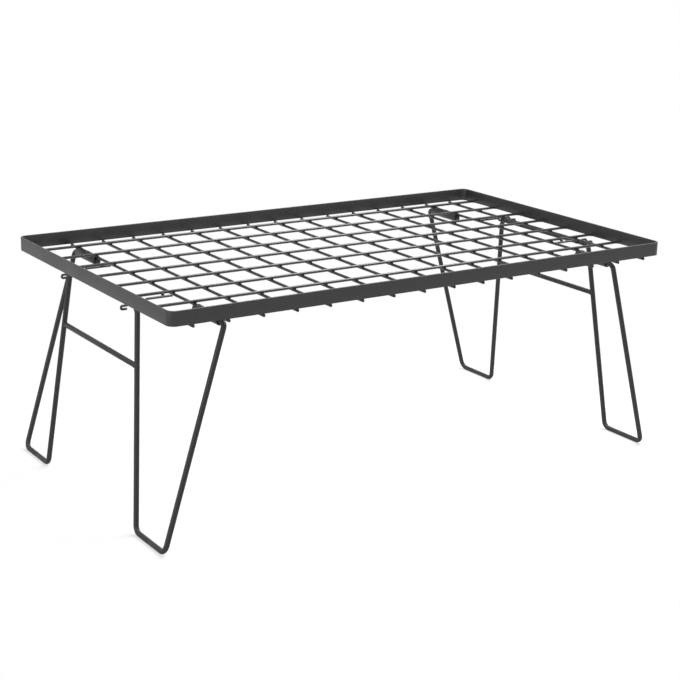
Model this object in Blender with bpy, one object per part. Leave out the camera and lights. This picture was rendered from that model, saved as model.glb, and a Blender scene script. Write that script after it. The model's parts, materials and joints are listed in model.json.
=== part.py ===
"""Folding grill table: a wire grid in a flat steel rim, on two folding bent wire legs.

Metres, +Z up. X runs along the table, Y from front to rear, and the floor is at Z = 0.
Each end has one bent leg wire. Its two ends are hinge pins, which turn in straps under the
grid, and its middle is a cross frame, whose top bar lies at two catch rods. The wire springs
at the feet: the cross frame closes onto the legs as they fold flat under the grid.
"""

import math

import bmesh
import bpy
from mathutils import Vector

# Overall size
TABLE_LENGTH = 0.600
TABLE_DEPTH = 0.350
TABLE_HEIGHT = 0.238

# Rim, a flat steel strip bent round the grid
RIM_HEIGHT = 0.0145
RIM_THICKNESS = 0.0018
RIM_CORNER_RADIUS = 0.008
RIM_EDGE_ROUNDING = 0.0003

# Grid of welded wires: cross wires under the rim, and long wires on them inside the rim
GRID_WIRE = 0.0030
LONG_WIRES = 8
CROSS_WIRES = 16
END_WIRE_INSET = 0.024
CROSS_END_INSET = 0.0003

# Leg wire
LEG_WIRE = 0.0054
LEG_INSET = 0.009
FOOT_OUTREACH = 0.003
LEG_BEND_RADIUS = 0.008

# Cross frame, the middle of the leg wire
FRAME_FOOT_WIDTH = 0.212
FRAME_TOP_WIDTH = 0.155
TOP_BAR_INSET = 0.016
CROSSBAR_HEIGHT = 0.1615

# Hinge straps, bent from sheet round the pins and welded to a cross wire
SLEEVE_LENGTH = 0.048
SLEEVE_WALL = 0.0012
PIN_CLEARANCE = 0.0003
PIN_PROTRUSION = 0.002

# Catch rods, which hold the top bar of each cross frame
CATCH_ROD = 0.0024
CATCH_SPAN = 0.138
CATCH_END_GAP = 0.0018
CATCH_CLEARANCE = 0.0005
CATCH_BEND_RADIUS = 0.0018
CATCH_HOOK_DROP = 0.0199
CATCH_HOOK_FLAT = 0.0003
CATCH_HOOK_RETURN = 0.006
CATCH_TIP_INSET = 0.003

# Gap where two pieces touch or are welded
SEAT_GAP = 0.0003

# Facets
ROUND_SIDES = 10
BEND_STEPS = 6
STRAP_STEPS = 18
SHARP_ANGLE = math.radians(30)

GRID_RADIUS = GRID_WIRE / 2
LEG_RADIUS = LEG_WIRE / 2
CATCH_RADIUS = CATCH_ROD / 2

# Heights that follow from the rim down
CROSS_WIRE_Z = TABLE_HEIGHT - RIM_HEIGHT - SEAT_GAP - GRID_RADIUS
LONG_WIRE_Z = CROSS_WIRE_Z + GRID_WIRE + SEAT_GAP
GRID_UNDERSIDE = CROSS_WIRE_Z - GRID_RADIUS
HINGE_Z = GRID_UNDERSIDE - SEAT_GAP - LEG_RADIUS

# A faceted wire rests on the flat of its lowest facet
FOOT_Z = LEG_RADIUS * math.cos(math.pi / ROUND_SIDES)

# The hinges hang under the second cross wire from each end
FIRST_CROSS_X = TABLE_LENGTH / 2 - END_WIRE_INSET
CROSS_PITCH = 2 * FIRST_CROSS_X / (CROSS_WIRES - 1)
HINGE_X = FIRST_CROSS_X - CROSS_PITCH

# Places along the leg wire
LEG_Y = TABLE_DEPTH / 2 - LEG_INSET
FOOT_X = TABLE_LENGTH / 2 + FOOT_OUTREACH
FRAME_FOOT_Y = FRAME_FOOT_WIDTH / 2
FOOT_SPLIT_Y = (LEG_Y + FRAME_FOOT_Y) / 2
SLEEVE_OUTER_Y = LEG_Y - LEG_BEND_RADIUS - SEAT_GAP
SLEEVE_INNER_Y = SLEEVE_OUTER_Y - SLEEVE_LENGTH
PIN_END_Y = SLEEVE_INNER_Y - PIN_PROTRUSION
TOP_BAR_X = TABLE_LENGTH / 2 - TOP_BAR_INSET
TOP_BAR_Z = HINGE_Z
FRAME_TOP_Y = FRAME_TOP_WIDTH / 2

ENDS = {"left": -1, "right": 1}
SIDES = {"front": -1, "rear": 1}


def clear_scene():
    """Remove every object of the open scene."""
    for item in list(bpy.data.objects):
        bpy.data.objects.remove(item, do_unlink=True)


def coated_steel(name, level, roughness):
    """Black coated steel, as a grey level and a roughness."""
    material = bpy.data.materials.new(name)
    material.use_nodes = True
    shader = material.node_tree.nodes["Principled BSDF"]
    shader.inputs["Base Color"].default_value = (level, level, level, 1.0)
    shader.inputs["Roughness"].default_value = roughness
    shader.inputs["Metallic"].default_value = 0.0
    return material


def add_object(name, data, material):
    """Put mesh or curve data into the scene under a name, with its material."""
    data.materials.append(material)
    item = bpy.data.objects.new(name, data)
    bpy.context.collection.objects.link(item)
    return item


def add_solid(name, bm, material):
    """Turn a finished bmesh into an object with outward faces and smooth round stretches."""
    bmesh.ops.recalc_face_normals(bm, faces=bm.faces)
    mesh = bpy.data.meshes.new(name)
    bm.to_mesh(mesh)
    bm.free()
    mesh.shade_smooth()
    mesh.set_sharp_from_angle(angle=SHARP_ANGLE)
    return add_object(name, mesh, material)


def extrude_faces(bm, vector):
    """Draw the flat faces of a bmesh out to a solid."""
    made = bmesh.ops.extrude_face_region(bm, geom=bm.faces[:])
    moved = [item for item in made["geom"] if isinstance(item, bmesh.types.BMVert)]
    bmesh.ops.translate(bm, verts=moved, vec=vector)


def joint_axis(name, place, parent=None):
    """An empty on a joint's axis, which carries the pieces that turn about it."""
    empty = bpy.data.objects.new(name, None)
    empty.empty_display_size = 0.02
    bpy.context.collection.objects.link(empty)
    empty.location = place
    if parent is not None:
        empty.parent = parent
        empty.location = Vector(place) - parent.location
    return empty


def hang_on(item, empty):
    """Parent a piece that is drawn in place to the empty of its joint."""
    bpy.context.view_layer.update()
    item.parent = empty
    item.matrix_parent_inverse = empty.matrix_world.inverted()


def bent_path(corners, radius):
    """Points along straight runs between corners, each inner corner an arc of one radius."""
    points = [Vector(corners[0])]
    for before, corner, after in zip(corners, corners[1:], corners[2:]):
        corner = Vector(corner)
        into = (corner - Vector(before)).normalized()
        out = (Vector(after) - corner).normalized()
        turn = into.angle(out)
        reach = radius * math.tan(turn / 2)
        centre = corner + (out - into).normalized() * radius / math.cos(turn / 2)
        start = corner - into * reach - centre
        for step in range(BEND_STEPS + 1):
            angle = turn * step / BEND_STEPS
            points.append(centre + start * math.cos(angle) + into * radius * math.sin(angle))
    points.append(Vector(corners[-1]))
    return points


def add_wire(name, points, diameter, material):
    """A round wire along a line of points, cut square at both ends."""
    curve = bpy.data.curves.new(name, "CURVE")
    curve.dimensions = "3D"
    curve.twist_mode = "Z_UP"
    curve.bevel_depth = diameter / 2
    curve.bevel_resolution = (ROUND_SIDES - 4) // 2
    curve.use_fill_caps = True
    spline = curve.splines.new("POLY")
    spline.points.add(len(points) - 1)
    for place, point in zip(points, spline.points):
        point.co = (*place, 1.0)
    spline.use_smooth = True
    return add_object(name, curve, material)


def corner_arc(centre, radius, start_angle, sweep, steps):
    """Points of an arc in a plane, both ends included."""
    angles = [start_angle + sweep * step / steps for step in range(steps + 1)]
    return [(centre[0] + radius * math.cos(a), centre[1] + radius * math.sin(a)) for a in angles]


def rounded_rectangle(length, depth, radius):
    """Outline of a rectangle about the middle, with round corners, going anticlockwise."""
    points = []
    for quarter, (side_x, side_y) in enumerate(((1, 1), (-1, 1), (-1, -1), (1, -1))):
        centre = (side_x * (length / 2 - radius), side_y * (depth / 2 - radius))
        points += corner_arc(centre, radius, quarter * math.pi / 2, math.pi / 2, BEND_STEPS)
    return points


def build_rim(material):
    """The strip on edge: a band inside the outline, drawn up, with its four long edges eased."""
    outline = rounded_rectangle(TABLE_LENGTH, TABLE_DEPTH, RIM_CORNER_RADIUS)
    bm = bmesh.new()
    plate = bm.faces.new([bm.verts.new((x, y, TABLE_HEIGHT - RIM_HEIGHT)) for x, y in outline])
    bm.normal_update()
    bmesh.ops.inset_region(
        bm, faces=[plate], thickness=RIM_THICKNESS, use_boundary=True, use_even_offset=True
    )
    bmesh.ops.delete(bm, geom=[plate], context="FACES_ONLY")
    extrude_faces(bm, (0, 0, RIM_HEIGHT))
    bmesh.ops.recalc_face_normals(bm, faces=bm.faces)
    bmesh.ops.bevel(
        bm,
        geom=[edge for edge in bm.edges if edge.calc_face_angle() > SHARP_ANGLE],
        offset=RIM_EDGE_ROUNDING,
        segments=1,
        profile=0.5,
        affect="EDGES",
        material=-1,
    )
    add_solid("rim", bm, material)


def build_grid(material):
    """Long wires evenly across the depth, on cross wires whose ends lie under the rim."""
    half_length = TABLE_LENGTH / 2 - RIM_THICKNESS - SEAT_GAP
    half_depth = TABLE_DEPTH / 2 - CROSS_END_INSET
    long_pitch = TABLE_DEPTH / LONG_WIRES
    for number in range(LONG_WIRES):
        y = (number + 0.5) * long_pitch - TABLE_DEPTH / 2
        ends = [(-half_length, y, LONG_WIRE_Z), (half_length, y, LONG_WIRE_Z)]
        add_wire(f"long_wire_{number + 1}", ends, GRID_WIRE, material)
    for number in range(CROSS_WIRES):
        x = number * CROSS_PITCH - FIRST_CROSS_X
        ends = [(x, -half_depth, CROSS_WIRE_Z), (x, half_depth, CROSS_WIRE_Z)]
        add_wire(f"cross_wire_{number + 1:02d}", ends, GRID_WIRE, material)


def strap_face(offset):
    """One face of a strap's section about the pin: down from the wire, round the pin and up."""
    wire_radius = GRID_RADIUS + SEAT_GAP + offset
    pin_radius = LEG_RADIUS + PIN_CLEARANCE + offset
    rise = CROSS_WIRE_Z - HINGE_Z
    lean = math.asin((pin_radius - wire_radius) / rise)
    edge_x = wire_radius * math.cos(lean)
    edge_z = rise + wire_radius * math.sin(lean)
    turn = corner_arc((0, 0), pin_radius, lean, -(math.pi + 2 * lean), STRAP_STEPS)
    return [(edge_x, edge_z)] + turn + [(-edge_x, edge_z)]


def build_sleeve(name, end, side, material):
    """A strap round the pin, its two edges up against the sides of the cross wire."""
    section = strap_face(SLEEVE_WALL) + strap_face(0)[::-1]
    y = side * SLEEVE_INNER_Y
    bm = bmesh.new()
    bm.faces.new([bm.verts.new((end * HINGE_X + dx, y, HINGE_Z + dz)) for dx, dz in section])
    extrude_faces(bm, (0, side * SLEEVE_LENGTH, 0))
    add_solid(name, bm, material)


def build_catch_rod(name, end, side, material):
    """A rod welded under the end cross wire, arched over the top bar, with a hook at its tip.

    Inward of its weld it is cranked up between the end cross wire and the next one.
    """
    weld_z = GRID_UNDERSIDE - SEAT_GAP - CATCH_RADIUS
    weld_start = FIRST_CROSS_X - GRID_WIRE
    saddle_z = TOP_BAR_Z + LEG_RADIUS + CATCH_CLEARANCE + CATCH_RADIUS
    saddle_start = TOP_BAR_X - LEG_RADIUS
    saddle_end = TOP_BAR_X + LEG_RADIUS
    hook_top_z = TABLE_HEIGHT - CATCH_HOOK_DROP
    hook_low_z = hook_top_z - 2 * CATCH_BEND_RADIUS - CATCH_HOOK_FLAT
    tip_x = TABLE_LENGTH / 2 - CATCH_TIP_INSET
    profile = [
        (HINGE_X + GRID_RADIUS + CATCH_END_GAP, CROSS_WIRE_Z),
        (weld_start - (CROSS_WIRE_Z - weld_z), CROSS_WIRE_Z),
        (weld_start, weld_z),
        (saddle_start - (saddle_z - weld_z), weld_z),
        (saddle_start, saddle_z),
        (saddle_end, saddle_z),
        (saddle_end + (saddle_z - hook_top_z), hook_top_z),
        (tip_x, hook_top_z),
        (tip_x, hook_low_z),
        (tip_x - CATCH_HOOK_RETURN, hook_low_z),
    ]
    corners = [(end * x, side * CATCH_SPAN / 2, z) for x, z in profile]
    add_wire(name, bent_path(corners, CATCH_BEND_RADIUS), CATCH_ROD, material)


def build_leg_wire(name, end, side, material):
    """From the hinge pin down the outer leg to the half foot where the spring stretch begins."""
    corners = [
        (end * HINGE_X, side * PIN_END_Y, HINGE_Z),
        (end * HINGE_X, side * LEG_Y, HINGE_Z),
        (end * FOOT_X, side * LEG_Y, FOOT_Z),
        (end * FOOT_X, side * (FOOT_SPLIT_Y + SEAT_GAP / 2), FOOT_Z),
    ]
    return add_wire(name, bent_path(corners, LEG_BEND_RADIUS), LEG_WIRE, material)


def build_cross_frame(name, end, material):
    """From half foot to half foot: two leaning side wires and the top bar between them."""
    half = [
        (end * FOOT_X, FOOT_SPLIT_Y - SEAT_GAP / 2, FOOT_Z),
        (end * FOOT_X, FRAME_FOOT_Y, FOOT_Z),
        (end * TOP_BAR_X, FRAME_TOP_Y, TOP_BAR_Z),
    ]
    corners = half + [(x, -y, z) for x, y, z in reversed(half)]
    return add_wire(name, bent_path(corners, LEG_BEND_RADIUS), LEG_WIRE, material)


def build_crossbar(name, end, material):
    """The short wire welded between the side wires of a cross frame."""
    share = (CROSSBAR_HEIGHT - FOOT_Z) / (TOP_BAR_Z - FOOT_Z)
    x = FOOT_X + (TOP_BAR_X - FOOT_X) * share
    side_y = FRAME_FOOT_Y + (FRAME_TOP_Y - FRAME_FOOT_Y) * share
    lean = math.atan2(FRAME_FOOT_Y - FRAME_TOP_Y, TOP_BAR_Z - FOOT_Z)
    half = side_y - LEG_RADIUS / math.cos(lean) - LEG_RADIUS * math.tan(lean) - SEAT_GAP
    ends = [(end * x, -half, CROSSBAR_HEIGHT), (end * x, half, CROSSBAR_HEIGHT)]
    return add_wire(name, ends, LEG_WIRE, material)


def build_table():
    """All pieces, with the legs of each end on their fold axis and the cross frame on its own."""
    clear_scene()
    build_rim(coated_steel("rim_coating", 0.045, 0.45))
    build_grid(coated_steel("grid_coating", 0.035, 0.40))
    sleeve_coating = coated_steel("sleeve_coating", 0.040, 0.50)
    catch_coating = coated_steel("catch_coating", 0.035, 0.45)
    leg_coating = coated_steel("leg_coating", 0.040, 0.42)
    for end_name, end in ENDS.items():
        fold = joint_axis(f"fold_axis_{end_name}", (end * HINGE_X, 0, HINGE_Z))
        spring = joint_axis(f"spring_axis_{end_name}", (end * FOOT_X, 0, FOOT_Z), fold)
        for side_name, side in SIDES.items():
            corner = f"{side_name}_{end_name}"
            build_sleeve(f"hinge_sleeve_{corner}", end, side, sleeve_coating)
            build_catch_rod(f"catch_rod_{corner}", end, side, catch_coating)
            hang_on(build_leg_wire(f"leg_wire_{corner}", end, side, leg_coating), fold)
        hang_on(build_cross_frame(f"cross_frame_{end_name}", end, leg_coating), spring)
        hang_on(build_crossbar(f"crossbar_{end_name}", end, leg_coating), spring)


build_table()
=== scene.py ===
"""Folding grill table: the looks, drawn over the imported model."""

import json
import math

import bmesh
import bpy
from mathutils import Matrix, Vector


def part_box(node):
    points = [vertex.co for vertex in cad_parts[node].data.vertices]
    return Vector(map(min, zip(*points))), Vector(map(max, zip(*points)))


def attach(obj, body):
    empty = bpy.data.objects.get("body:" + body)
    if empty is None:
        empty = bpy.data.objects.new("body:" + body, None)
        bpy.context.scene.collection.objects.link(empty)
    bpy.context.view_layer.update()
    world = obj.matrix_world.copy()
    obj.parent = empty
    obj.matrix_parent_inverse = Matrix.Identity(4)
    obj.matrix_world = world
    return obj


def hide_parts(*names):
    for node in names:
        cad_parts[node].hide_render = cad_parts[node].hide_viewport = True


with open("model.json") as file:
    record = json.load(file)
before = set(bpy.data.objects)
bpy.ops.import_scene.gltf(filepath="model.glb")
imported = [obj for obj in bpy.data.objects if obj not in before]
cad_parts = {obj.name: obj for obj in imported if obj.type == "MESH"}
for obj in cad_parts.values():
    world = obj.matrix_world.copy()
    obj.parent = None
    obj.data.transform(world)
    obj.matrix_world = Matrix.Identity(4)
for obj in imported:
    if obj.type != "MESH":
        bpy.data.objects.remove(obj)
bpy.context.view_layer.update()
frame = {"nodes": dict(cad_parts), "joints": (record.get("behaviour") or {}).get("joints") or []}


# The camera stands left of the table's front and a little above it, with a long lens. Its lens,
# place and tilt were worked out from the corners of the rim and the four feet.
IMAGE_PIXELS = 680
FOCAL_PIXELS = 1544.5
SENSOR_MILLIMETRES = 36
FARTHEST_SEEN = 50
CAMERA_PLACE = (-0.9045, -1.3559, 0.6023)
CAMERA_YAW = math.radians(33.66)
CAMERA_DOWN = math.radians(16.34)
CAMERA_ROLL = math.radians(1.28)

lens = bpy.data.cameras.new("photo_camera")
lens.sensor_width = SENSOR_MILLIMETRES
lens.lens = FOCAL_PIXELS / IMAGE_PIXELS * lens.sensor_width
lens.clip_end = FARTHEST_SEEN
camera = bpy.data.objects.new("photo_camera", lens)
bpy.context.collection.objects.link(camera)
camera.matrix_world = (
    Matrix.Translation(CAMERA_PLACE)
    @ Matrix.Rotation(-CAMERA_YAW, 4, "Z")
    @ Matrix.Rotation(math.pi / 2 - CAMERA_DOWN, 4, "X")
    @ Matrix.Rotation(CAMERA_ROLL, 4, "Z")
)
bpy.context.scene.camera = camera


# White studio paper on the floor, matte, and lit to plain white for the camera. Round the table
# it keeps the soft shadows of the feet, and further out it is white all over.
FLOOR_RADIUS = 9.0
FLOOR_SIDES = 64
WHITE_FROM = 0.36
WHITE_TO = 0.5
SHADOW_KEPT = 0.35
SHARP_EDGE_TURN = math.radians(40)


def linear(code):
    """An sRGB colour written as a hex code, as the linear colour that a shader takes."""
    parts = [int(code[place : place + 2], 16) / 255 for place in (1, 3, 5)]
    return (*(p / 12.92 if p <= 0.04045 else ((p + 0.055) / 1.055) ** 2.4 for p in parts), 1.0)


def add_node(tree, kind, inputs=None, **settings):
    """Adds a node, with its settings, and with a value or a link for each input named."""
    node = tree.nodes.new(kind)
    for name, value in settings.items():
        setattr(node, name, value)
    for name, value in (inputs or {}).items():
        if isinstance(value, bpy.types.NodeSocket):
            tree.links.new(value, node.inputs[name])
        else:
            node.inputs[name].default_value = value
    return node


def add_piece(name, bm, material):
    """Makes a finished mesh an object, with faces outwards and only its real edges sharp."""
    bmesh.ops.recalc_face_normals(bm, faces=bm.faces)
    mesh = bpy.data.meshes.new(name)
    bm.to_mesh(mesh)
    bm.free()
    mesh.shade_smooth()
    mesh.set_sharp_from_angle(angle=SHARP_EDGE_TURN)
    mesh.materials.append(material)
    piece = bpy.data.objects.new(name, mesh)
    bpy.context.collection.objects.link(piece)
    return piece


def seen_or_mirrored(tree):
    """One for what the camera sees, straight, mirrored or through glass, and nought for light."""
    ray = add_node(tree, "ShaderNodeLightPath")
    mirrored = add_node(
        tree,
        "ShaderNodeMath",
        {0: ray.outputs["Is Glossy Ray"], 1: ray.outputs["Is Transmission Ray"]},
        operation="MAXIMUM",
    )
    either = add_node(
        tree,
        "ShaderNodeMath",
        {0: ray.outputs["Is Camera Ray"], 1: mirrored.outputs[0]},
        operation="MAXIMUM",
    )
    return either.outputs[0]


paper = bpy.data.materials.new("matte_white_paper")
paper.use_nodes = True
paper_tree = paper.node_tree
paper_tree.nodes.clear()
paper_place = add_node(paper_tree, "ShaderNodeTexCoord")
from_middle = add_node(
    paper_tree,
    "ShaderNodeVectorMath",
    {0: paper_place.outputs["Object"]},
    operation="LENGTH",
)
whiteness = add_node(
    paper_tree,
    "ShaderNodeMapRange",
    {
        "Value": from_middle.outputs["Value"],
        "From Min": WHITE_FROM,
        "From Max": WHITE_TO,
        "To Min": 1 - SHADOW_KEPT,
        "To Max": 1.0,
    },
)
glow_share = add_node(
    paper_tree,
    "ShaderNodeMath",
    {0: seen_or_mirrored(paper_tree), 1: whiteness.outputs["Result"]},
    operation="MULTIPLY",
)
fibres = add_node(paper_tree, "ShaderNodeBsdfDiffuse", {"Color": linear("#f4f4f4")})
glow = add_node(paper_tree, "ShaderNodeEmission", {"Color": (1, 1, 1, 1), "Strength": 1.0})
lit_paper = add_node(
    paper_tree,
    "ShaderNodeMixShader",
    {0: glow_share.outputs[0], 1: fibres.outputs[0], 2: glow.outputs[0]},
)
add_node(paper_tree, "ShaderNodeOutputMaterial", {"Surface": lit_paper.outputs[0]})

bm = bmesh.new()
bmesh.ops.create_circle(bm, cap_ends=True, segments=FLOOR_SIDES, radius=FLOOR_RADIUS)
floor = add_piece("studio_floor", bm, paper)


# Soft studio light: a large softbox overhead and a little to the right, and a weaker one far off
# at the left. The walls are white to the camera and in reflections, and give a little light all
# round.
SOFTBOX_AIM = (0.1, 0.0, 0.1)
# Place, width, depth and watts of each.
SOFTBOXES = {
    "overhead_softbox": ((0.75, 0.0, 1.7), 1.5, 1.3, 58),
    "left_softbox": ((-3.0, -0.4, 1.4), 1.8, 1.8, 50),
}
ROOM_GREY = "#6c6c6c"

for name, (place, width, depth, watts) in SOFTBOXES.items():
    lamp = bpy.data.lights.new(name, "AREA")
    lamp.shape = "RECTANGLE"
    lamp.size = width
    lamp.size_y = depth
    lamp.energy = watts
    softbox = bpy.data.objects.new(name, lamp)
    bpy.context.collection.objects.link(softbox)
    towards = Vector(SOFTBOX_AIM) - Vector(place)
    turned = towards.to_track_quat("-Z", "Y").to_matrix().to_4x4()
    softbox.matrix_world = Matrix.Translation(place) @ turned

room = bpy.data.worlds.new("studio_room")
room.use_nodes = True
room_tree = room.node_tree
room_tree.nodes.clear()
dim = add_node(room_tree, "ShaderNodeBackground", {"Color": linear(ROOM_GREY), "Strength": 1.0})
white = add_node(room_tree, "ShaderNodeBackground", {"Color": (1, 1, 1, 1), "Strength": 1.0})
walls = add_node(
    room_tree,
    "ShaderNodeMixShader",
    {0: seen_or_mirrored(room_tree), 1: dim.outputs[0], 2: white.outputs[0]},
)
add_node(room_tree, "ShaderNodeOutputWorld", {"Surface": walls.outputs[0]})
bpy.context.scene.world = room
bpy.context.scene.view_settings.view_transform = "Standard"


# The rim: mild steel strip on edge, bent to a rectangle with tight round corners and closed
# with a butt weld, ground flush before coating. Its cut edges are eased by tumbling.
RIM_WALL = 0.0018
RIM_CORNER = 0.008
RIM_CORNER_STEPS = 14
RIM_EDGE = 0.0004
RIM_EDGE_STEPS = 3
CUT_EDGE_TURN = math.radians(60)

POWDER_IOR = 1.5
FILM_PATCH = 0.03
PEEL_SPACING = 0.0008
SHEEN_SWING = 0.05
# Nearly all of a noise pattern lies between these two.
NOISE_LOW = 0.3
NOISE_HIGH = 0.7


def black_coat(name, shade, deep_shade, roughness, peel_height, ior=POWDER_IOR):
    """Baked powder coat: near black, with a soft sheen that varies and an orange peel skin."""
    material = bpy.data.materials.new(name)
    material.use_nodes = True
    tree = material.node_tree
    shader = tree.nodes["Principled BSDF"]
    shader.inputs["IOR"].default_value = ior
    shader.inputs["Metallic"].default_value = 0.0
    place = add_node(tree, "ShaderNodeTexCoord")
    # Film thickness drifts over some 30 mm, and the darker film is the thicker and glossier one.
    drift = add_node(
        tree,
        "ShaderNodeTexNoise",
        {
            "Vector": place.outputs["Object"],
            "Scale": 1 / FILM_PATCH,
            "Detail": 3.0,
            "Roughness": 0.5,
        },
    )
    # Inputs 6 and 7 of a colour mix are its two colours, and output 2 is the mixed one.
    tone = add_node(
        tree,
        "ShaderNodeMix",
        {"Factor": drift.outputs["Fac"], 6: linear(deep_shade), 7: linear(shade)},
        data_type="RGBA",
    )
    tree.links.new(tone.outputs[2], shader.inputs["Base Color"])
    sheen = add_node(
        tree,
        "ShaderNodeMapRange",
        {
            "Value": drift.outputs["Fac"],
            "From Min": NOISE_LOW,
            "From Max": NOISE_HIGH,
            "To Min": roughness - SHEEN_SWING,
            "To Max": roughness + SHEEN_SWING,
        },
    )
    tree.links.new(sheen.outputs["Result"], shader.inputs["Roughness"])
    # Orange peel of a baked coating: soft dimples about 0.8 mm apart and a few microns deep.
    dimples = add_node(
        tree,
        "ShaderNodeTexNoise",
        {"Vector": place.outputs["Object"], "Scale": 1 / PEEL_SPACING, "Detail": 1.0},
    )
    skin = add_node(
        tree,
        "ShaderNodeBump",
        {"Height": dimples.outputs["Fac"], "Distance": peel_height, "Strength": 1.0},
    )
    tree.links.new(skin.outputs["Normal"], shader.inputs["Normal"])
    return material


def ease_cut_edges(bm, radius, steps):
    """Rounds the sharp cut edges of a piece, as tumbling does."""
    bmesh.ops.recalc_face_normals(bm, faces=bm.faces)
    bmesh.ops.bevel(
        bm,
        geom=[edge for edge in bm.edges if edge.calc_face_angle() > CUT_EDGE_TURN],
        offset=radius,
        segments=steps,
        profile=0.5,
        affect="EDGES",
        material=-1,
    )


# On flat strip the powder is satin, and the broad faces show its peel.
rim_coat = black_coat("baked_black_coat_on_strip", "#2a2a2b", "#202021", 0.42, 0.00001)
low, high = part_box("rim")
bm = bmesh.new()
bmesh.ops.create_grid(bm, x_segments=1, y_segments=1, size=0.5)
bmesh.ops.scale(bm, verts=bm.verts, vec=(high[0] - low[0], high[1] - low[1], 1))
bmesh.ops.translate(bm, verts=bm.verts, vec=(0, 0, low[2]))
bmesh.ops.bevel(
    bm,
    geom=bm.verts[:],
    offset=RIM_CORNER,
    segments=RIM_CORNER_STEPS,
    profile=0.5,
    affect="VERTICES",
    material=-1,
)
bm.normal_update()
plate = bm.faces[:]
bmesh.ops.inset_region(
    bm, faces=plate, thickness=RIM_WALL, use_boundary=True, use_even_offset=True
)
bmesh.ops.delete(bm, geom=plate, context="FACES_ONLY")
raised = bmesh.ops.extrude_face_region(bm, geom=bm.faces[:])["geom"]
bmesh.ops.translate(
    bm,
    verts=[item for item in raised if isinstance(item, bmesh.types.BMVert)],
    vec=(0, 0, high[2] - low[2]),
)
ease_cut_edges(bm, RIM_EDGE, RIM_EDGE_STEPS)
rim = add_piece("rim_strip", bm, rim_coat)
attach(rim, "tabletop")
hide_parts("rim")


# The grid: straightened mild steel wire, cut to length and spot welded at each crossing. The
# long wires lie on top, and sliding pans have polished their coat; the cross wires are duller.
GRID_WIRE = 0.0030
WIRE_SIDES = 24
BEND_STEP_DEGREES = 8
FEWEST_BEND_STEPS = 3
WIRE_END_EDGE = 0.00025
WIRE_END_STEPS = 2


def new_face(made):
    """The one face among the parts of a mesh that an operator has made."""
    return next(item for item in made if isinstance(item, bmesh.types.BMFace))


def pull(bm, face, by):
    """Draws the end face of a wire or sheet on by a vector, and gives its new end face."""
    made = bmesh.ops.extrude_face_region(bm, geom=[face, *face.edges, *face.verts])["geom"]
    moved = [item for item in made if isinstance(item, bmesh.types.BMVert)]
    bmesh.ops.translate(bm, verts=moved, vec=by)
    return new_face(made)


def bent_wire(name, corners, bends, diameter, material):
    """Draws a round wire from its first end, with a bend of its own radius at each corner."""
    corners = [Vector(corner) for corner in corners]
    along = (corners[1] - corners[0]).normalized()
    at = corners[0]
    bm = bmesh.new()
    bmesh.ops.create_circle(
        bm,
        cap_ends=True,
        segments=WIRE_SIDES,
        radius=diameter / 2,
        matrix=Matrix.Translation(at) @ along.to_track_quat("Z", "Y").to_matrix().to_4x4(),
    )
    end = bm.faces[:][0]
    for corner, after, bend_radius in zip(corners[1:], corners[2:], bends):
        out = (after - corner).normalized()
        turn = along.angle(out)
        reach = bend_radius * math.tan(turn / 2)
        end = pull(bm, end, corner - along * reach - at)
        axis = along.cross(out).normalized()
        bent = bmesh.ops.spin(
            bm,
            geom=[end, *end.edges, *end.verts],
            cent=corner - along * reach + axis.cross(along) * bend_radius,
            axis=axis,
            dvec=(0, 0, 0),
            angle=turn,
            steps=max(FEWEST_BEND_STEPS, round(math.degrees(turn) / BEND_STEP_DEGREES)),
        )
        end = new_face(bent["geom_last"])
        at = corner + out * reach
        along = out
    pull(bm, end, corners[-1] - at)
    ease_cut_edges(bm, WIRE_END_EDGE, WIRE_END_STEPS)
    return add_piece(name, bm, material)


def middle(node):
    """The middle of a node's box."""
    low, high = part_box(node)
    return (Vector(low) + Vector(high)) / 2


# Pans rub the peel of the long wires nearly flat, so their tops shine under a lamp.
polished_coat = black_coat(
    "polished_black_coat_on_long_wire", "#212122", "#19191a", 0.28, 0.000004, ior=1.6
)
# Nothing rubs the cross wires below them, so theirs is duller; their deeper black is painted
# shade, for the shade they lie in under the long wires.
cross_wire_coat_painted_shade = black_coat("baked_black_coat_on_cross_wire", "#1b1b1c", "#141415", 0.42, 0.000008)
long_nodes = [node for node in sorted(frame["nodes"]) if node.startswith("long_wire_")]
cross_nodes = [node for node in sorted(frame["nodes"]) if node.startswith("cross_wire_")]
for node in long_nodes + cross_nodes:
    low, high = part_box(node)
    centre = middle(node)
    if node in long_nodes:
        wire_ends = [(low[0], centre.y, centre.z), (high[0], centre.y, centre.z)]
        coat = polished_coat
    else:
        wire_ends = [(centre.x, low[1], centre.z), (centre.x, high[1], centre.z)]
        coat = cross_wire_coat_painted_shade
    wire = bent_wire(f"round_{node}", wire_ends, [], GRID_WIRE, coat)
    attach(wire, "tabletop")
    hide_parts(node)


# Spot welds of the grid: where two wires cross, the current sinks them into each other a little
# and leaves a small round nugget. The ends are welded to the strip with a short bead.
NUGGET = (0.0014, 0.0014, 0.0007)
LONG_END_BEAD = (0.0009, 0.0021, 0.0021)
LONG_END_BEAD_OFF_STRIP = 0.0003
CROSS_END_BEAD = (0.0019, 0.0015, 0.0006)
CROSS_END_BEAD_DEPTH = 0.9 * RIM_WALL
BEAD_SIDES = 10
BEAD_RINGS = 6


def weld_bead(bm, place, size):
    """Adds one rounded bead of weld metal, given its middle and its three half sizes."""
    matrix = Matrix.Translation(place) @ Matrix.Diagonal((*size, 1))
    bmesh.ops.create_uvsphere(
        bm, u_segments=BEAD_SIDES, v_segments=BEAD_RINGS, radius=1, matrix=matrix
    )


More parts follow.
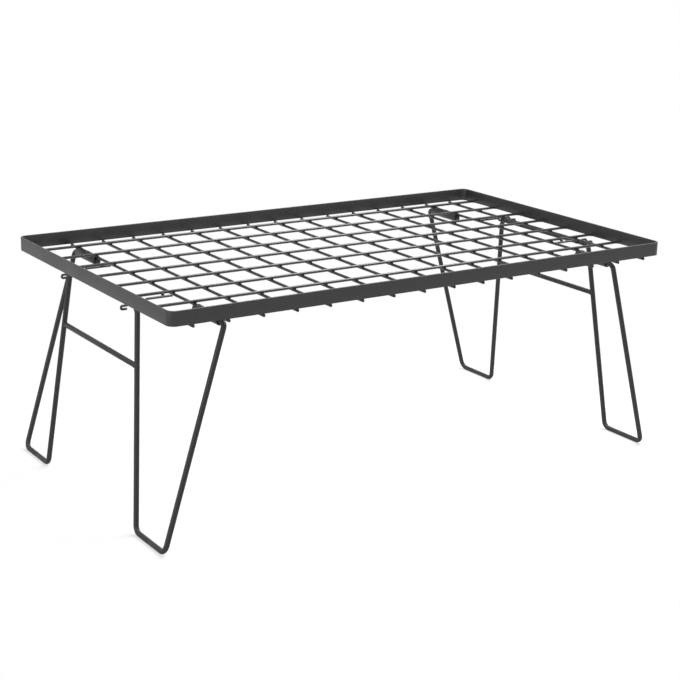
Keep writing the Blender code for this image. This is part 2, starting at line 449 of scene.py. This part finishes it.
bm = bmesh.new()
rim_low, rim_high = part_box("rim")
for long_node in long_nodes:
    over = middle(long_node)
    for end in (-1, 1):
        x = end * (rim_high[0] - RIM_WALL - LONG_END_BEAD_OFF_STRIP)
        weld_bead(bm, (x, over.y, over.z), LONG_END_BEAD)
    for cross_node in cross_nodes:
        under = middle(cross_node)
        weld_bead(bm, (under.x, over.y, (over.z + under.z) / 2), NUGGET)
for cross_node in cross_nodes:
    for side in (-1, 1):
        y = side * (rim_high[1] - CROSS_END_BEAD_DEPTH)
        weld_bead(bm, (middle(cross_node).x, y, rim_low[2]), CROSS_END_BEAD)
# The welds take the cross wires' coat, with its painted shade.
grid_welds = add_piece("grid_spot_welds", bm, cross_wire_coat_painted_shade)
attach(grid_welds, "tabletop")


# The leg wires: one springy steel wire at each end, bent cold. It runs from a hinge pin down the
# outer leg, along the foot, up the cross frame's side and over its top bar, and back likewise.
LEG_WIRE = 0.0054
PIN_BEND = 0.0048
LEG_BEND = 0.008
FRAME_FOOT_WIDTH = 0.212
FRAME_TOP_WIDTH = 0.155
# Each half of a foot is drawn on by this much, so that the two meet face to face.
FOOT_DRAWN_ON = 0.00016

# The same powder on springy wire, never rubbed: dull, with broad and weak highlights.
leg_coat = black_coat(
    "baked_black_coat_on_leg_wire", "#1e1e1f", "#161617", 0.54, 0.000008, ior=1.45
)
ends = {"left": -1, "right": 1}
sides = {"front": -1, "rear": 1}
axes = {joint["name"]: Vector(joint["pos_m"]) for joint in frame["joints"]}
for end_name, end in ends.items():
    hinge = axes[f"{end_name}_fold"]
    foot = axes[f"{end_name}_spring"]
    foot_z = LEG_WIRE / 2
    frame_low, frame_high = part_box(f"cross_frame_{end_name}")
    top_x = end * (min(abs(frame_low[0]), abs(frame_high[0])) + LEG_WIRE / 2)
    split_y = frame_high[1] + FOOT_DRAWN_ON
    for side_name, side in sides.items():
        node = f"leg_wire_{side_name}_{end_name}"
        reach = sorted(abs(corner[1]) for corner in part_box(node))
        corners = [
            (hinge.x, side * reach[0], hinge.z),
            (hinge.x, side * (reach[1] - LEG_WIRE / 2), hinge.z),
            (foot.x, side * (reach[1] - LEG_WIRE / 2), foot_z),
            (foot.x, side * split_y, foot_z),
        ]
        bends = [PIN_BEND, LEG_BEND]
        wire = bent_wire(f"round_{node}", corners, bends, LEG_WIRE, leg_coat)
        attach(wire, f"{end_name}_legs")
        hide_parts(node)
    half = [
        (foot.x, split_y, foot_z),
        (foot.x, FRAME_FOOT_WIDTH / 2, foot_z),
        (top_x, FRAME_TOP_WIDTH / 2, hinge.z),
    ]
    corners = half + [(x, -y, z) for x, y, z in half[::-1]]
    bends = [LEG_BEND] * (len(corners) - 2)
    wire = bent_wire(f"round_cross_frame_{end_name}", corners, bends, LEG_WIRE, leg_coat)
    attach(wire, f"{end_name}_frame")
    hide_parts(f"cross_frame_{end_name}")


# The crossbar: a short piece of the leg wire, set between the sides of the cross frame and
# welded to them all round. It keeps the two springy sides at one distance.
CROSSBAR_INTO_SIDE = 0.002
CROSSBAR_BEAD = (0.0032, 0.0014, 0.0032)
CROSSBAR_BEAD_PAST_END = 0.0006

for end_name in ends:
    node = f"crossbar_{end_name}"
    low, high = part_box(node)
    centre = middle(node)
    reach = high[1] + CROSSBAR_INTO_SIDE
    bar_ends = [(centre.x, -reach, centre.z), (centre.x, reach, centre.z)]
    bar = bent_wire(f"round_{node}", bar_ends, [], LEG_WIRE, leg_coat)
    bm = bmesh.new()
    for side in (-1, 1):
        y = side * (high[1] + CROSSBAR_BEAD_PAST_END)
        weld_bead(bm, (centre.x, y, centre.z), CROSSBAR_BEAD)
    beads = add_piece(f"crossbar_welds_{end_name}", bm, leg_coat)
    for piece in (bar, beads):
        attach(piece, f"{end_name}_frame")
    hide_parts(node)


# The hinge straps: mild steel sheet folded round the pin like a saddle, both edges welded to the
# sides of a cross wire at three places, so that the pin turns in a long open-topped tube.
STRAP_WALL = 0.0012
STRAP_EDGE = 0.0002
STRAP_EDGE_STEPS = 2
STRAP_FOLD_STEPS = 24
PIN_ROOM = 0.0003
WELD_GAP = 0.0003
STRAP_BEAD = (0.0008, 0.0035, 0.0009)
STRAP_BEAD_SHARES = (0.12, 0.5, 0.88)
STRAP_BEAD_OFF_WIRE = 0.0001
STRAP_BEAD_RISE = 0.0006

bore_radius = LEG_WIRE / 2 + PIN_ROOM
top_half_width = GRID_WIRE / 2 + WELD_GAP


def folded_strap(length, rise):
    """Folds sheet round a pin along Y at the origin, and up both sides of a wire above it."""
    lean = math.asin((bore_radius - top_half_width) / rise)
    run = math.sqrt(rise**2 - (bore_radius - top_half_width) ** 2)
    bm = bmesh.new()
    bmesh.ops.create_grid(bm, x_segments=1, y_segments=1, size=0.5)
    bmesh.ops.scale(bm, verts=bm.verts, vec=(STRAP_WALL, length, 1))
    bmesh.ops.translate(bm, verts=bm.verts, vec=(bore_radius + STRAP_WALL / 2, 0, run))
    strap_end = pull(bm, bm.faces[:][0], (0, 0, -run))
    fold = bmesh.ops.spin(
        bm,
        geom=[strap_end, *strap_end.edges, *strap_end.verts],
        cent=(0, 0, 0),
        axis=(0, 1, 0),
        dvec=(0, 0, 0),
        angle=math.pi + 2 * lean,
        steps=STRAP_FOLD_STEPS,
    )
    up = Matrix.Rotation(math.pi + 2 * lean, 3, "Y") @ Vector((0, 0, -run))
    pull(bm, new_face(fold["geom_last"]), up)
    bmesh.ops.rotate(bm, verts=bm.verts, matrix=Matrix.Rotation(-lean, 3, "Y"))
    return bm


# The same powder on folded sheet: between the strip and the leg wire in sheen.
strap_coat = black_coat("baked_black_coat_on_sheet", "#272728", "#1e1e1f", 0.45, 0.00001)
end_cross = middle(cross_nodes[0])
for end_name in ends:
    hinge = axes[f"{end_name}_fold"]
    for side_name in sides:
        node = f"hinge_sleeve_{side_name}_{end_name}"
        low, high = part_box(node)
        bm = folded_strap(high[1] - low[1], end_cross.z - hinge.z)
        place = (hinge.x, (low[1] + high[1]) / 2, hinge.z)
        bmesh.ops.translate(bm, verts=bm.verts, vec=place)
        ease_cut_edges(bm, STRAP_EDGE, STRAP_EDGE_STEPS)
        strap = add_piece(f"folded_{node}", bm, strap_coat)
        bm = bmesh.new()
        for share in STRAP_BEAD_SHARES:
            y = low[1] + share * (high[1] - low[1])
            for face in (-1, 1):
                x = hinge.x + face * (top_half_width + STRAP_BEAD_OFF_WIRE)
                weld_bead(bm, (x, y, end_cross.z + STRAP_BEAD_RISE), STRAP_BEAD)
        beads = add_piece(f"strap_welds_{side_name}_{end_name}", bm, strap_coat)
        for piece in (strap, beads):
            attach(piece, "tabletop")
        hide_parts(node)


# The catch rods: thin springy wire, welded under the end cross wire, cranked up inward of it and
# tacked to the long wire there. Outward each arches over the top bar and ends in a tight hook.
CATCH_ROD = 0.0024
CATCH_BEND = 0.0016
CATCH_ROOM = 0.0005
HOOK_TOP = 0.2181
HOOK_HEIGHT = 0.0034
HOOK_RETURN = 0.006
CATCH_BEAD = (0.0015, 0.0013, 0.0006)
TACK_X = 0.252
TACK = (0.0016, 0.0021, 0.0021)

# Thin wire takes a thinner and smoother film, a little glossier than the leg wire's.
catch_coat = black_coat("baked_black_coat_on_thin_wire", "#262627", "#1d1d1e", 0.4, 0.000006)
for end_name, end in ends.items():
    hinge = axes[f"{end_name}_fold"]
    frame_low, frame_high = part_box(f"cross_frame_{end_name}")
    bar_x = min(abs(frame_low[0]), abs(frame_high[0])) + LEG_WIRE / 2
    for side_name in sides:
        node = f"catch_rod_{side_name}_{end_name}"
        low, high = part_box(node)
        reach = sorted((abs(low[0]), abs(high[0])))
        y = (low[1] + high[1]) / 2
        weld_z = end_cross.z - GRID_WIRE / 2 - WELD_GAP - CATCH_ROD / 2
        weld_start = abs(end_cross.x) - GRID_WIRE
        saddle_z = hinge.z + LEG_WIRE / 2 + CATCH_ROOM + CATCH_ROD / 2
        hook_x = reach[1] - CATCH_ROD / 2
        # From the inner end: the crank down to the weld, the arch over the bar, and the hook.
        profile = [
            (reach[0], end_cross.z),
            (weld_start - (end_cross.z - weld_z), end_cross.z),
            (weld_start, weld_z),
            (bar_x - LEG_WIRE / 2 - (saddle_z - weld_z), weld_z),
            (bar_x - LEG_WIRE / 2, saddle_z),
            (bar_x + LEG_WIRE / 2, saddle_z),
            (bar_x + LEG_WIRE / 2 + (saddle_z - HOOK_TOP), HOOK_TOP),
            (hook_x, HOOK_TOP),
            (hook_x, HOOK_TOP - HOOK_HEIGHT),
            (hook_x - HOOK_RETURN, HOOK_TOP - HOOK_HEIGHT),
        ]
        corners = [(end * x, y, z) for x, z in profile]
        bends = [CATCH_BEND] * (len(corners) - 2)
        rod = bent_wire(f"round_{node}", corners, bends, CATCH_ROD, catch_coat)
        bm = bmesh.new()
        bead_z = weld_z + CATCH_ROD / 2 + WELD_GAP / 2
        weld_bead(bm, (end * abs(end_cross.x), y, bead_z), CATCH_BEAD)
        beside = min((middle(wire_node) for wire_node in long_nodes), key=lambda at: abs(at.y - y))
        tack_place = (end * TACK_X, (y + beside.y) / 2, (end_cross.z + beside.z) / 2)
        weld_bead(bm, tack_place, TACK)
        beads = add_piece(f"catch_welds_{side_name}_{end_name}", bm, catch_coat)
        for piece in (rod, beads):
            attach(piece, "tabletop")
        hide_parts(node)
